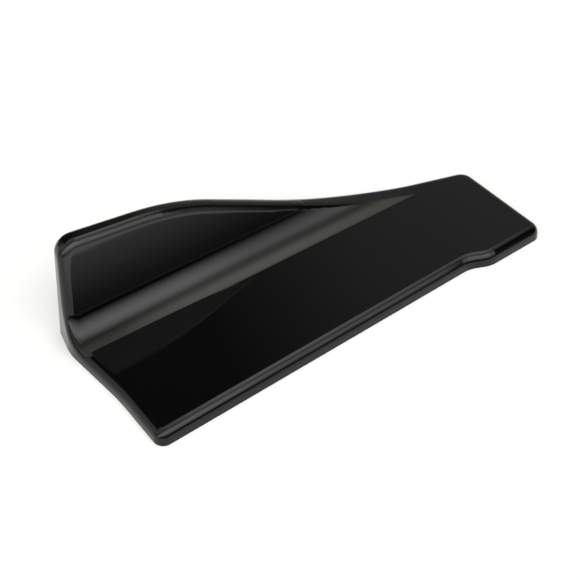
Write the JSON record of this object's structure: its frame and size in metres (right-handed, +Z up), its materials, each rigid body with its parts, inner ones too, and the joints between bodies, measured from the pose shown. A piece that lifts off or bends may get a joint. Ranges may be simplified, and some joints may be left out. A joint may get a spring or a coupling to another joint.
{
  "type": "side skirt",
  "caption": "Car side skirt extension: a long plate with a turned-down rounded rim and a stepped near edge, rising over a large fillet into an upright hollow fin at one end.",
  "frame": {"origin": "middle of the footprint's box, on the ground that the rim stands on", "axes": "+X along the fold from the fin's end to the plain end, +Y from the stepped near edge to the fin, +Z up"},
  "size_m": [0.4921, 0.1914, 0.111],
  "materials": {
    "gloss_black": "gloss"
  },
  "bodies": {
    "root": {"side_skirt": "gloss_black"}
  },
  "joints": []
}
